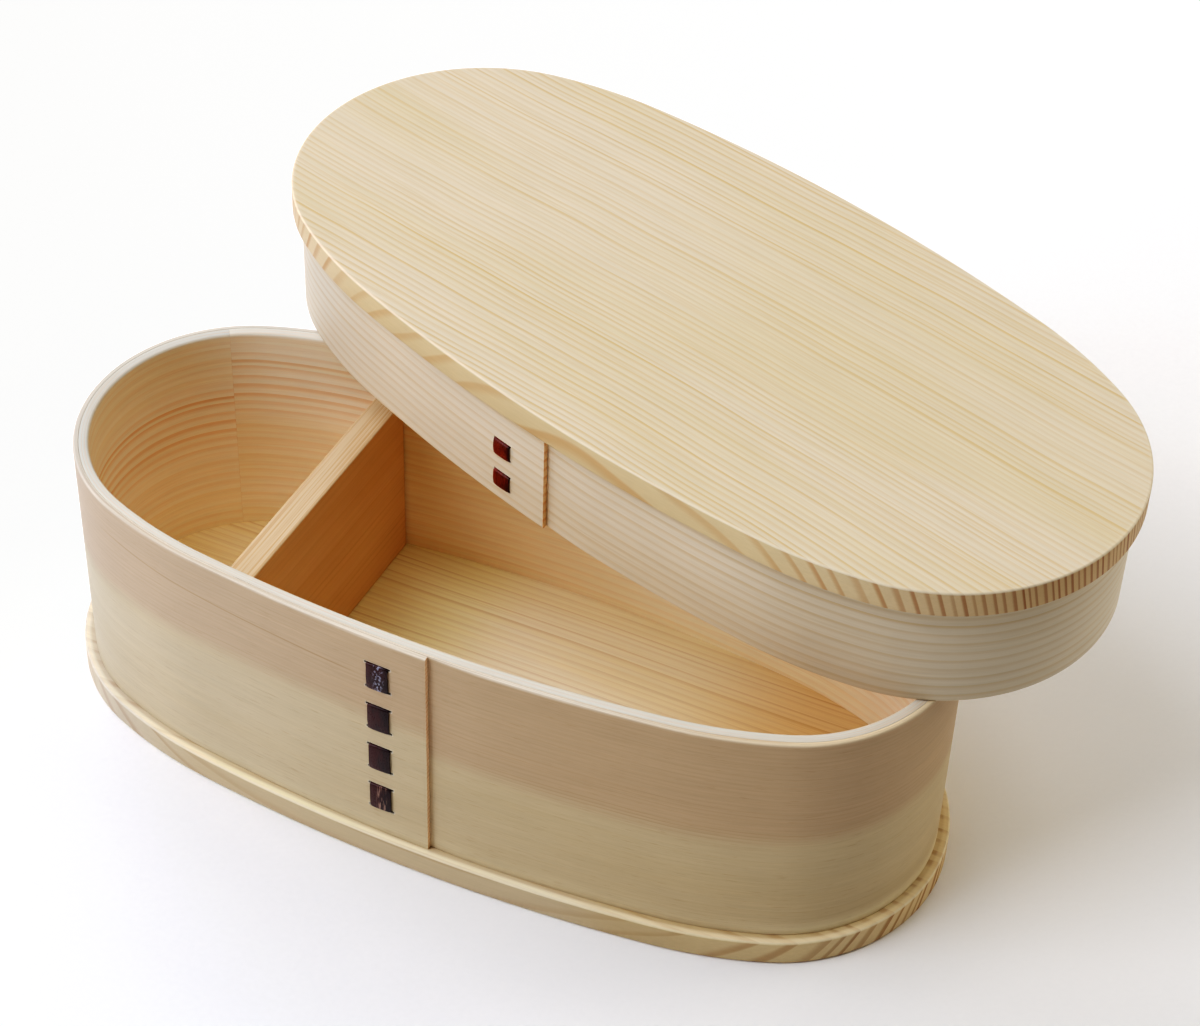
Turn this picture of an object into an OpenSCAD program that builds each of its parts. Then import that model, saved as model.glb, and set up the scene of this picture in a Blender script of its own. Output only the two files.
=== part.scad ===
// Oval lunch box of thin bent wood, with its lid laid across the rim.
// Origin: centre of the base board's underside. +X along the box, +Y to the back, +Z up.

/* [Outline] */
// Length of the body over its outer band
body_l = 180; // [160:1:200]
// Width of the body over its outer band
body_w = 78.6; // [77:0.2:82]
// Radius of the rounded ends
end_r = 32.8; // [31:0.2:34]
// Half angle of each end arc
end_a = 68; // [66:0.5:71]
// Radius of the shoulders between the ends and the long sides
shoulder_r = 88.6; // [75:0.2:95]

/* [Boards] */
// Height of the rim above the table
rim_z = 57; // [54:0.5:66]
// Thickness of the base board
base_t = 5.6; // [4:0.1:7]
// How far the base board stands out past the outer band
base_out = 2.2; // [1:0.1:4]
// Height of the panel under the lid board that locates its band
panel_t = 0.5; // [0.3:0.1:1]
// Thickness of the lid board at its edge
lid_t = 5.6; // [4.5:0.1:8]
// How far the lid board stands out past the line of the body's outer band
lid_out = 6; // [5.4:0.1:8]
// Rounding of the boards' edges
board_r = 0.4; // [0.2:0.1:1]

/* [Bands] */
// Thickness of the outer band
outer_t = 1; // [0.9:0.1:1.2]
// Thickness of the inner band
inner_t = 1.95; // [1.6:0.05:2.4]
// Line of the lid band's outer face, out from the body's outer band
lid_band_out = 4.2; // [2.6:0.1:4.6]
// Thickness of the lid band
lid_band_t = 1.4; // [1.2:0.1:1.5]
// Depth of the lid band
lid_band_h = 22.7; // [20:0.1:28]
// Angle round the left end, from +X, at which the inner band's ends meet
inner_seam_a = 125; // [115:1:135]

/* [Laps] */
// Where the upper end of the outer band stops, along X
body_seam_x = 3; // [0:0.1:8]
// Where the upper end of the lid band stops, along X
lid_seam_x = 1.4; // [-3:0.1:3]
// Length over which a lap rises
lap_l = 42; // [36:1:46]
// Height of a lap at its end
lap_h = 0.6; // [0.4:0.05:0.7]
// Length over which the lower end is thinned
thin_l = 11; // [8:0.5:16]
// How much the lower end is thinned at the seam
thin_h = 0.4; // [0.2:0.05:0.45]

/* [Bark lacing] */
// Width of the body's bark strip
bark_w = 4.5; // [3.5:0.1:5]
// Width of the lid's bark strip
lid_bark_w = 4.1; // [3.5:0.1:5]
// Thickness of the bark strips
bark_t = 0.4; // [0.3:0.05:0.45]
// Centre of the body's lacing, left of its seam
body_lace_dx = 9.9; // [8:0.1:13]
// Height of the lowest pass on the body, at its middle
body_lace_z = 15.4; // [13:0.1:17]
// Distance from pass to pass on the body
body_lace_pitch = 10.8; // [9.5:0.05:11]
// Height of each pass on the body
body_pass_h = 6.5; // [5:0.1:7]
// Centre of the lid's lacing, left of its seam
lid_lace_dx = 10.8; // [9:0.1:13]
// Height of the lowest pass on the lid above the band's lower edge, at its middle
lid_lace_z = 5.1; // [4.2:0.1:6]
// Distance from pass to pass on the lid
lid_lace_pitch = 7.75; // [7:0.05:9]
// Height of each pass on the lid
lid_pass_h = 3.9; // [3:0.1:4.2]

/* [Divider] */
// Thickness of the divider
div_t = 5.6; // [4:0.1:7]
// Middle of the divider along X
div_x = -43.6; // [-46:0.1:-38]
// Turn of the divider about the vertical
div_yaw = -1.5; // [-2:0.5:2]
// Height of the divider's top
div_z = 45.5; // [40:0.5:50]
// Room between the divider's ends and the wall
div_gap = 0.35; // [0.3:0.05:0.8]

/* [Lid as laid on the rim] */
// Shift of the lid along X
lid_x = 19.5; // [10:0.1:24]
// Shift of the lid along Y
lid_y = 43; // [30:0.1:44]
// Turn of the lid about the vertical
lid_yaw = -18.4; // [-24:0.1:-10]
// Room between the lid band and the rim
lid_gap = 0.1; // [0.05:0.05:0.5]

/* [Hidden] */
$fn = 180;
a = body_l / 2;
b = body_w / 2;
glue = 0.05;
// Centres of the arcs, in the quarter with +X and +Y
e_x = a - end_r;
s_x = e_x - (shoulder_r - end_r) * cos(end_a);
s_y = -(shoulder_r - end_r) * sin(end_a);
side_r = (shoulder_r * shoulder_r - s_x * s_x - (s_y - b) * (s_y - b)) / (2 * (s_y - b + shoulder_r));
side_y = b - side_r;
side_a = atan2(s_y - side_y, s_x);
// Each arc: centre x, centre y, radius, start angle, sweep
ARCS = [
    [e_x, 0, end_r, -end_a, 2 * end_a],
    [s_x, s_y, shoulder_r, end_a, side_a - end_a],
    [0, side_y, side_r, side_a, 180 - 2 * side_a],
    [-s_x, s_y, shoulder_r, 180 - side_a, side_a - end_a]
];
// Wall lines, as distances out from the outer band's face
inner_out = -outer_t - glue;
inner_in = inner_out - inner_t;
lid_in = lid_band_out - lid_band_t;
floor_z = base_t;
lid_under_z = lid_band_h - panel_t;
rim_e = 0.45;
wood_pale = [0.93, 0.83, 0.66];
wood_white = [0.96, 0.90, 0.79];
bark_dark = [0.17, 0.05, 0.05];

// Points of a rounded corner from angle a0 to a1
function corner(x, y, r, a0, a1, n = 5) = [for (i = [0:n]) [x + r * cos(a0 + (a1 - a0) * i / n), y + r * sin(a0 + (a1 - a0) * i / n)]];
// Front face of a band at offset d, at x
function front_y(x, d) = -side_y - sqrt((side_r + d) * (side_r + d) - x * x);

// A profile, x out from the outer band's line and y up, carried right round the oval
module round_oval() {
    for (s = [0, 180]) rotate(s) for (k = ARCS)
        translate([k[0], k[1], 0]) rotate_extrude(angle = k[4], start = k[3]) translate([k[2], 0]) children();
}

// Points round the oval at offset d
function oval_points(d) = [for (s = [0, 180]) for (k = ARCS) for (i = [0:7])
    let (t = k[3] + k[4] * i / 8, x = k[0] + (k[2] + d) * cos(t), y = k[1] + (k[2] + d) * sin(t))
    s == 0 ? [x, y] : [-x, -y]];

// An oval board with rounded edges: offset d, from z0 to z1, edge radius e
module oval_board(d, z0, z1, e) {
    round_oval() polygon(concat([[d - 20, z1], [d - 20, z0]], corner(d - e, z0 + e, e, -90, 0), corner(d - e, z1 - e, e, 0, 90)));
    translate([0, 0, z0]) linear_extrude(z1 - z0) polygon(oval_points(d - 10));
}

// A low oval panel with a plain edge
module oval_panel(d, z0, z1) {
    round_oval() translate([d - 20, z0]) square([20, z1 - z0]);
    translate([0, 0, z0]) linear_extrude(z1 - z0) polygon(oval_points(d - 10));
}

// Profile of a band between offsets d0 and d1, from z0 to z1, with eased edges
module band_profile(d0, d1, z0, z1, c0, c1, t0, t1) {
    polygon([[d0, z0 + c0], [d0 + c0, z0], [d1 - c1, z0], [d1, z0 + c1],
        [d1, z1 - t1], [d1 - t1, z1], [d0 + t0, z1], [d0, z1 - t0]]);
}

// Axis of the front face at offset d, turned by w about its point at x
module turned_front(x, d, w) {
    translate([x, front_y(x, d), 0]) rotate(w) translate([-x, -side_y - front_y(x, d), 0]) children();
}

// Raised upper end of a band at the front
module lap(x, d, z0, z1) {
    w = asin(lap_h / lap_l);
    intersection() {
        difference() {
            turned_front(x - lap_l, d, -w) translate([0, 0, z0]) cylinder(r = side_r + d, h = z1 - z0);
            translate([0, -side_y, z0 - 1]) cylinder(r = side_r + d - 0.5, h = z1 - z0 + 2);
        }
        translate([x - lap_l - 4, -2 * b, z0 - 1]) cube([lap_l + 4, 2 * b, z1 - z0 + 2]);
    }
}

// What is shaved from the lower end of a band, right of the seam
module thinning(x, d, z0, z1) {
    w = asin(thin_h / thin_l);
    intersection() {
        difference() {
            translate([0, -side_y, z0 - 1]) cylinder(r = side_r + d + 2, h = z1 - z0 + 2);
            turned_front(x + thin_l, d, -w) translate([0, 0, z0 - 2]) cylinder(r = side_r + d, h = z1 - z0 + 4);
        }
        translate([x, -2 * b, z0 - 1]) cube([thin_l + 4, 2 * b, z1 - z0 + 2]);
    }
}

// Front face of the lap at x, left of a seam at xs
function lap_y(x, xs, d) = front_y(x, d) - lap_h * (x - xs + lap_l) / lap_l;

// Slits for a lacing of n passes of width wide, at x, through a wall from y0 out to y1
module slits(x, wide, n, z, pitch, h, y0, y1) {
    for (i = [0:n - 1]) for (s = [-1, 1])
        translate([x - wide / 2 - 0.8, y1, z + i * pitch + s * (h / 2 - bark_t / 2) - bark_t / 2 - 0.08])
            cube([wide + 1.6, y0 - y1, bark_t + 0.16]);
}

// Turn that lays a bark strip at x flat on the lap
function lap_turn(x, d) = atan2(x, side_r + d) - asin(lap_h / lap_l) * 0.6;

// A bark strip of width wide woven through n pairs of slits and turned by w: its outer passes lie on yo, its inner passes on yi
module bark(x, wide, n, z, pitch, h, yi, yo, w) {
    translate([x, yo, 0]) rotate(w) translate([-wide / 2, 0, 0]) rotate([90, 0, 90]) linear_extrude(wide) {
        for (i = [0:n - 1]) {
            // outer pass
            translate([-bark_t, z + i * pitch - h / 2]) square([bark_t, h]);
            // the two ways through the wall
            for (s = [-1, 1])
                translate([-bark_t, z + i * pitch + s * (h / 2 - bark_t / 2) - bark_t / 2]) square([yi - yo + 2 * bark_t, bark_t]);
        }
        // inner passes between one outer pass and the next
        for (i = [0:1:n - 2])
            translate([yi - yo, z + i * pitch + h / 2 - bark_t]) square([bark_t, pitch - h + 2 * bark_t]);
        // tucked ends
        translate([yi - yo, z - h / 2 - 1.2]) square([bark_t, 1.2 + bark_t]);
        translate([yi - yo, z + (n - 1) * pitch + h / 2 - bark_t]) square([bark_t, 1.2 + bark_t]);
    }
}

body_lace_x = body_seam_x - body_lace_dx;
lid_lace_x = lid_seam_x - lid_lace_dx;
body_lace_yo = lap_y(body_lace_x, body_seam_x, 0) - 0.06;
body_lace_yi = front_y(body_lace_x, -outer_t) + 0.08;
lid_lace_yo = lap_y(lid_lace_x, lid_seam_x, lid_band_out) - 0.06;
lid_lace_yi = front_y(lid_lace_x, lid_in) + 0.08;

// Flat oval base board that the bands stand on
module base_board() color(wood_pale)
    oval_board(base_out, 0, base_t, board_r);

// Outer band: one strip, its ends lapped at the front
module outer_band() color(wood_pale) difference() {
    union() {
        difference() {
            round_oval() band_profile(-outer_t, 0, base_t, rim_z, 0.05, 0.1, 0.05, rim_e);
            thinning(body_seam_x, 0, base_t, rim_z);
        }
        lap(body_seam_x, 0, base_t + 0.1, rim_z - 0.25);
    }
    slits(body_lace_x, bark_w, 4, body_lace_z, body_lace_pitch, body_pass_h, -b + outer_t + 1, -b - 2);
}

// Inner band: one strip, its ends butted at the back left, hollowed where the lacing passes behind the lap
module inner_band() color(wood_white) difference() {
    round_oval() band_profile(inner_in, inner_out, base_t, rim_z, 0.1, 0.05, rim_e, 0.05);
    translate([-e_x, 0, 0]) rotate(inner_seam_a) translate([end_r - 6, -0.06, 0]) cube([12, 0.12, rim_z + 1]);
    translate([body_lace_x - bark_w / 2 - 0.4, front_y(body_lace_x, 0) - 1, body_lace_z - body_pass_h / 2 - 1.6])
        cube([bark_w + 0.8, 1 + outer_t + 0.2 + bark_t + 0.1, 3 * body_lace_pitch + body_pass_h + 3.2]);
}

// Bark strip that laces the body's lap
module body_lacing() color(bark_dark)
    bark(body_lace_x, bark_w, 4, body_lace_z, body_lace_pitch, body_pass_h, body_lace_yi, body_lace_yo, lap_turn(body_lace_x, 0));

// Loose upright divider, its ends cut to the wall's curve
module divider() color(wood_pale) intersection() {
    translate([div_x, 0, 0]) rotate(div_yaw) rotate([90, 0, 0]) translate([0, 0, -b]) linear_extrude(2 * b)
        polygon([[-div_t / 2, floor_z + 0.4], [-div_t / 2 + 0.3, floor_z + 0.1], [div_t / 2 - 0.3, floor_z + 0.1], [div_t / 2, floor_z + 0.4],
            [div_t / 2, div_z - 0.3], [div_t / 2 - 0.3, div_z], [-div_t / 2 + 0.3, div_z], [-div_t / 2, div_z - 0.3]]);
    translate([0, side_y, 0]) cylinder(r = side_r + inner_in - div_gap, h = rim_z);
    translate([0, -side_y, 0]) cylinder(r = side_r + inner_in - div_gap, h = rim_z);
}

// The lid's own frame: z = 0 at the band's lower edge
module lid_place() translate([lid_x, lid_y, rim_z + lid_gap]) rotate(lid_yaw) children();

// Oval lid board with a low panel under it that the band fits round
module lid_board() color(wood_pale) lid_place() {
    oval_board(lid_out, lid_band_h, lid_band_h + lid_t, board_r);
    oval_panel(lid_in - 0.1, lid_under_z, lid_band_h + 1);
}

// Lid band: one strip, its ends lapped at the front
module lid_band() color(wood_pale) lid_place() difference() {
    union() {
        difference() {
            round_oval() band_profile(lid_in, lid_band_out, 0, lid_band_h, 0.3, 0.4, 0.05, 0.05);
            thinning(lid_seam_x, lid_band_out, 0, lid_band_h);
        }
        lap(lid_seam_x, lid_band_out, 0.2, lid_band_h - 0.1);
    }
    slits(lid_lace_x, lid_bark_w, 2, lid_lace_z, lid_lace_pitch, lid_pass_h, -b - lid_in + 1, -b - lid_band_out - 2);
}

// Bark strip that laces the lid's lap
module lid_lacing() color(bark_dark) lid_place()
    bark(lid_lace_x, lid_bark_w, 2, lid_lace_z, lid_lace_pitch, lid_pass_h, lid_lace_yi, lid_lace_yo, lap_turn(lid_lace_x, lid_band_out));

base_board();
outer_band();
inner_band();
body_lacing();
divider();
lid_board();
lid_band();
lid_lacing();
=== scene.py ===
import math

import bpy
import numpy as np
from mathutils import Matrix


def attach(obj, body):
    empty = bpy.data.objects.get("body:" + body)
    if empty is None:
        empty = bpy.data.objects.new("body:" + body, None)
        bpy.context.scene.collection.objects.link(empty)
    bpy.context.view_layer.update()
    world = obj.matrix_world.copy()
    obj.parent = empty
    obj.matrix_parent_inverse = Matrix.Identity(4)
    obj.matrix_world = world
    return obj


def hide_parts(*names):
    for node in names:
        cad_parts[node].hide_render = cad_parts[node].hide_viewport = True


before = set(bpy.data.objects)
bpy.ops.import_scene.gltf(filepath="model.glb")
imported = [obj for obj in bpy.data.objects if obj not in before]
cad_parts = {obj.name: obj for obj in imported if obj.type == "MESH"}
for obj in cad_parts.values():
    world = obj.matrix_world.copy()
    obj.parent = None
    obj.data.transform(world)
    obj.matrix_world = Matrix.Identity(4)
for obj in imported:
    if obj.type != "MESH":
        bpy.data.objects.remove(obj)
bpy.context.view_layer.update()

MM = 0.001

# ------------------------------------------------------------------ the oval
# Every piece follows one oval of eight arcs. Lengths here are millimetres.
A, B, END_R, END_A, SHOULDER_R = 90.0, 39.3, 32.8, 68.0, 88.6
E_X = A - END_R
S_X = E_X - (SHOULDER_R - END_R) * math.cos(math.radians(END_A))
S_Y = -(SHOULDER_R - END_R) * math.sin(math.radians(END_A))
SIDE_R = (SHOULDER_R ** 2 - S_X ** 2 - (S_Y - B) ** 2) / (2 * (S_Y - B + SHOULDER_R))
SIDE_Y = B - SIDE_R
SIDE_A = math.degrees(math.atan2(S_Y - SIDE_Y, S_X))
# centre x, centre y, radius, first angle, last angle; counter-clockwise from the middle of the front
ARCS = np.array([
    (0, -SIDE_Y, SIDE_R, 270, 360 - SIDE_A),
    (S_X, -S_Y, SHOULDER_R, 360 - SIDE_A, 360 - END_A),
    (E_X, 0, END_R, 360 - END_A, 360 + END_A),
    (S_X, S_Y, SHOULDER_R, 360 + END_A, 360 + SIDE_A),
    (0, SIDE_Y, SIDE_R, 360 + SIDE_A, 540 - SIDE_A),
    (-S_X, S_Y, SHOULDER_R, 540 - SIDE_A, 540 - END_A),
    (-E_X, 0, END_R, 540 - END_A, 540 + END_A),
    (-S_X, -S_Y, SHOULDER_R, 540 + END_A, 540 + SIDE_A),
    (0, -SIDE_Y, SIDE_R, 540 + SIDE_A, 630),
])
RUN = np.concatenate([[0], np.cumsum(ARCS[:, 2] * np.radians(ARCS[:, 4] - ARCS[:, 3]))])
ROUND = float(RUN[-1])


def oval(s):
    """Points on the oval at run s from the middle of the front, and the outward normals there."""
    s = np.mod(np.asarray(s, float), ROUND)
    k = np.clip(np.searchsorted(RUN, s, side="right") - 1, 0, len(ARCS) - 1)
    arc = ARCS[k]
    t = np.radians(arc[:, 3]) + (s - RUN[k]) / arc[:, 2]
    n = np.stack([np.cos(t), np.sin(t)], 1)
    return arc[:, :2] + arc[:, 2:3] * n, n


# The lid lies askew on the rim. Its own frame has z = 0 at the lower edge of its band.
LID_X, LID_Y, LID_Z, LID_YAW = 19.5, 43.0, 57.1, math.radians(-18.4)


def lid_place(p):
    c, s = math.cos(LID_YAW), math.sin(LID_YAW)
    return np.stack([LID_X + c * p[:, 0] - s * p[:, 1], LID_Y + s * p[:, 0] + c * p[:, 1], LID_Z + p[:, 2]], 1)


# ------------------------------------------------------------------ mesh building
class Shell:
    """Points in millimetres, each with a grain place (along the fibres, across the rings, third way)
    and a finish (end grain, sanded edge, fresh cut, which on a board paints its arris pale, as sanded wood and as a
    painted highlight), and faces that may set a finish of their own."""

    def __init__(self):
        self.v, self.gc, self.fx = [], [], []
        self.faces, self.own = [], []
        self.n = 0

    def points(self, p, gc, fx):
        p = np.asarray(p, float)
        self.v.append(p)
        self.gc.append(np.broadcast_to(np.asarray(gc, float), p.shape))
        self.fx.append(np.broadcast_to(np.asarray(fx, float), p.shape))
        i = np.arange(self.n, self.n + len(p))
        self.n += len(p)
        return i

    def face(self, idx, own=None):
        self.faces.append([int(i) for i in idx])
        self.own.append(own)

    def build(self, name, place=None, sharp=40):
        v, gc, fx = (np.concatenate(x) for x in (self.v, self.gc, self.fx))
        if place is not None:
            v = place(v)
        me = bpy.data.meshes.new(name)
        me.from_pydata((v * MM).tolist(), [], self.faces)
        loops = np.zeros(len(me.loops), np.int32)
        me.loops.foreach_get("vertex_index", loops)
        cgc, cfx = gc[loops], fx[loops].copy()
        at = 0
        for f, own in zip(self.faces, self.own):
            if own is not None:
                cfx[at:at + len(f)] = own
            at += len(f)
        for label, data in (("gc", cgc), ("fx", cfx)):
            att = me.attributes.new(label, "FLOAT_VECTOR", "CORNER")
            att.data.foreach_set("vector", np.ascontiguousarray(data, np.float32).ravel())
        me.validate()
        me.shade_smooth()
        me.set_sharp_from_angle(angle=math.radians(sharp))
        ob = bpy.data.objects.new(name, me)
        bpy.context.scene.collection.objects.link(ob)
        return ob


def ease(t):
    t = np.clip(t, 0, 1)
    return t * t * (3 - 2 * t)


def steps(lo, hi, step, extra=()):
    """Even steps from lo to hi, with the extra values put in exactly and near doubles left out."""
    n = max(2, int(round((hi - lo) / step)) + 1)
    keep = sorted(x for x in extra if lo < x < hi)
    out = [x for x in np.linspace(lo, hi, n) if x in (lo, hi) or all(abs(x - k) > 0.35 * step for k in keep)]
    return np.array(sorted(set(out) | set(keep) | {lo, hi}))


def strip(sh, cols, zl, outer, inner, z0, z1, radii, slits=(), closed=False):
    """A thin upright strip along runs cols: faces at offsets outer(s, z) and inner(s, z), from z0 to z1.
    radii: rounding of the top outer, top inner, bottom outer and bottom inner edges. slits: (s0, s1, z0, z1)."""
    K = len(cols)
    xy, nrm = oval(cols)
    zl = list(zl)
    o1, i1 = outer(cols, z1), inner(cols, z1)
    o0, i0 = outer(cols, z0), inner(cols, z0)
    to, ti = (np.minimum(r, 0.45 * (o1 - i1)) for r in radii[:2])
    bo, bi = (np.minimum(r, 0.45 * (o0 - i0)) for r in radii[2:])
    rows = []
    full = np.ones(K)

    def row(d, z, rim=0.0):
        rows.append((d * full, z * full, rim))

    row(o0, z0 + bo)
    for z in zl:
        row(outer(cols, z), z)
    row(o1, z1 - to, 0.15)
    for t, rim in ((22.5, 0.45), (45, 0.75), (67.5, 1), (90, 1)):
        c, s = math.cos(math.radians(t)), math.sin(math.radians(t))
        row(o1 - to + to * c, z1 - to + to * s, rim)
    for t, rim in ((90, 1), (112.5, 1), (135, 0.8), (157.5, 0.5)):
        c, s = math.cos(math.radians(t)), math.sin(math.radians(t))
        row(i1 + ti + ti * c, z1 - ti + ti * s, rim)
    row(i1, z1 - ti, 0.15)
    for z in zl[::-1]:
        row(inner(cols, z), z)
    row(i0, z0 + bi)
    for t in (202.5, 225, 247.5, 270):
        c, s = math.cos(math.radians(t)), math.sin(math.radians(t))
        row(i0 + bi + bi * c, z0 + bi + bi * s)
    for t in (270, 292.5, 315, 337.5):
        c, s = math.cos(math.radians(t)), math.sin(math.radians(t))
        row(o0 - bo + bo * c, z0 + bo + bo * s)
    M, Z = len(rows), len(zl)
    n_in = 1 + Z + 1 + 4 + 4  # first inner-face row
    idx = np.zeros((K, M), int)
    cutrow = {}
    for a, b, lo, hi in slits:
        for q, z in enumerate(zl):
            if abs(z - lo) < 1e-6 or abs(z - hi) < 1e-6:
                cutrow.setdefault(1 + q, []).append((a, b))
    for j, (d, z, rim) in enumerate(rows):
        p = np.column_stack([xy + d[:, None] * nrm, z])
        fx = np.zeros((K, 3))
        fx[:, 1] = rim
        for a, b in cutrow.get(j, ()):
            fx[(cols >= a - 1e-6) & (cols <= b + 1e-6), 2] = 0.7
        idx[:, j] = sh.points(p, np.column_stack([cols, z, d]), fx)
    hole = set()
    for a, b, lo, hi in slits:
        ks = [k for k in range(K - 1) if cols[k] >= a - 1e-6 and cols[k + 1] <= b + 1e-6]
        qs = [q for q in range(Z - 1) if zl[q] >= lo - 1e-6 and zl[q + 1] <= hi + 1e-6]
        fresh = (0.0, 0.0, 1.0)
        up = lambda q: 1 + q
        dn = lambda q: n_in + 1 + (Z - 1 - q)
        for k in ks:
            for q in qs:
                hole.add((k, up(q)))
                hole.add((k, dn(q) - 1))
            q0, q1 = qs[0], qs[-1] + 1
            sh.face((idx[k, up(q0)], idx[k + 1, up(q0)], idx[k + 1, dn(q0)], idx[k, dn(q0)]), fresh)
            sh.face((idx[k, up(q1)], idx[k, dn(q1)], idx[k + 1, dn(q1)], idx[k + 1, up(q1)]), fresh)
        for q in qs:
            k0, k1 = ks[0], ks[-1] + 1
            sh.face((idx[k0, up(q)], idx[k0, dn(q)], idx[k0, dn(q + 1)], idx[k0, up(q + 1)]), fresh)
            sh.face((idx[k1, up(q)], idx[k1, up(q + 1)], idx[k1, dn(q + 1)], idx[k1, dn(q)]), fresh)
    for k in range(K - 1):
        for j in range(M):
            if (k, j) not in hole:
                j2 = (j + 1) % M
                sh.face((idx[k, j], idx[k + 1, j], idx[k + 1, j2], idx[k, j2]))
    sh.face(idx[0, :], (1.0, 0.0, 0.0))
    sh.face(idx[-1, ::-1], (1.0, 0.0, 0.0))


def board(sh, rings, cols, hub, dense=(None, 1.0)):
    """A flat oval board: rings of (offset, z, edge, arris) from the top's middle outwards, down the edge and back
    under.
    hub: the offset inside which the faces close in on the middle. edge: 1 on the upright edge, arris: 1 on its
    rounding, painted pale as sanded wood and as a painted highlight.
    dense: an offset, and how much closer the grain lines lie on the top inside it."""
    K = len(cols)
    xy, nrm = oval(cols)
    loops = []
    zt, zb = rings[0][1], rings[-1][1]

    def loop(p, z, edge, arris, inside=False):
        end = edge * np.clip(np.abs(nrm[:, 0]) * 1.3 - 0.2, 0, 1) * (0.4 if z == zt else 1.0)
        fx = np.column_stack([end, edge - end, np.full(K, arris)])
        p = np.column_stack([p, np.full(K, z)])
        close = dense[1] if inside else 1.0
        loops.append(sh.points(p, p * (1, close, close), fx))

    core = xy + hub * nrm
    top = sh.points([(0, 0, zt)], (0, 0, zt * dense[1]), (0, 0, 0))
    for c in (0.22, 0.45, 0.7):
        loop(core * c, zt, 0, 0, dense[0] is not None)
    for d, z, edge, arris in rings:
        loop(xy + d * nrm, z, edge, arris, dense[0] is not None and z == zt and d < dense[0])
    for c in (0.7, 0.45, 0.22):
        loop(core * c, zb, 0, 0)
    bottom = sh.points([(0, 0, zb)], (0, 0, zb), (0, 0, 0))
    for k in range(K):
        k2 = (k + 1) % K
        sh.face((top[0], loops[0][k], loops[0][k2]))
        for r0, r1 in zip(loops, loops[1:]):
            sh.face((r0[k], r1[k], r1[k2], r0[k2]))
        sh.face((bottom[0], loops[-1][k2], loops[-1][k]))


def edge_rings(d, z0, z1, r, ledge=0.0):
    """The rounded edge of a board at offset d, from its top z1 down to z0. ledge: how pale the top runs up to it, a
    painted highlight before the arris.
    """
    out = [(d - r - 0.5, z1, 0, ledge), (d - r, z1, 0, max(ledge, 0.25))]
    for t in (75, 60, 45, 30, 15, 0):
        c, s = math.cos(math.radians(t)), math.sin(math.radians(t))
        out.append((d - r + r * c, z1 - r + r * s, c, math.sin(math.radians(2 * t)) ** 0.7 if t else 0.0))
    mid = (z0 + z1) / 2
    out.append((d, mid, 1, 0))
    for t in (0, 18, 36, 54, 72):
        c, s = math.cos(math.radians(t)), math.sin(math.radians(t))
        out.append((d - r + r * c, z0 + r - r * s, c, 0))
    return out + [(d - r, z0, 0, 0), (d - r - 0.5, z0, 0, 0)]


COLS = np.linspace(0, ROUND, 300, endpoint=False)
BASE_T, BASE_OUT, RIM_Z = 5.6, 2.2, 57.0
LAP_L, LAP_H, THIN_L, THIN_H = 42.0, 0.6, 11.0, 0.4
BARK_W, LID_BARK_W, BARK_T = 4.5, 4.1, 0.4
BOARD_R = 0.4
LID_H, LID_OUT, LID_SEAM, LID_LACE = 22.7, 4.2, 1.4, -9.4
SEAM, LACE = 3.0, -6.9
# lowest pass, distance from pass to pass, number of passes, height of a pass
PASSES, LID_PASSES = (15.4, 10.8, 4, 6.5), (5.1, 7.75, 2, 3.9)
LACE_T, LID_LACE_T = 1 - (SEAM - LACE) / LAP_L, 1 - (LID_SEAM - LID_LACE) / LAP_L  # how far up the lap the bark sits


def lapped_band(name, seam, face, thick, z0, z1, radii, lace_s, lace_z, pitch, n, pass_h, slit_w, place=None):
    """A band bent once round and lapped over its own start, left end on top, slit for its lacing."""
    first, last = seam - LAP_L, seam + ROUND
    rise = last - LAP_L

    def under(s):  # outer face of the covered start
        return face - thick + 0.02 + (thick - THIN_H - 0.02) * np.clip((s - first) / LAP_L, 0, 1)

    def outer(s, z):
        s = np.asarray(s, float)
        shaved = face - THIN_H * (1 - np.clip((s - seam) / THIN_L, 0, 1)) ** 1.6
        d = np.where(s <= seam, under(s), shaved)
        return d + LAP_H * np.clip((s - rise) / LAP_L, 0, 1)

    def inner(s, z):
        s = np.asarray(s, float)
        t = np.clip((s - rise) / LAP_L, 0, 1)
        over = under(s - ROUND) + 0.03
        return np.where(t > 0, np.maximum(face - thick, over * np.minimum(1, t * 40) + (face - thick) * (1 - np.minimum(1, t * 40))), face - thick)

    half = slit_w / 2
    cuts, zl = [], []
    for i in range(n):
        for sgn in (-1, 1):
            zc = lace_z + i * pitch + sgn * (pass_h / 2 - BARK_T / 2)
            for turn in (0, ROUND):
                cuts.append((lace_s - half + turn, lace_s + half + turn, zc - 0.28, zc + 0.28))
            zl += [zc - 0.53, zc - 0.28, zc + 0.28, zc + 0.53]
    marks = [seam, seam + 1, seam + THIN_L, rise, rise + 1]
    for turn in (0, ROUND):
        marks += [lace_s - half + turn, lace_s + half + turn, lace_s - half - 0.3 + turn, lace_s + half + 0.3 + turn]
    cols = steps(first, last, 1.5, marks)
    top, low = max(radii[:2]), max(radii[2:])
    zl = [z for z in steps(z0 + low + 0.3, z1 - top - 0.3, 4.0, zl)]
    sh = Shell()
    strip(sh, cols, zl, outer, inner, z0, z1, radii, cuts)
    return sh.build(name, place)


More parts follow.
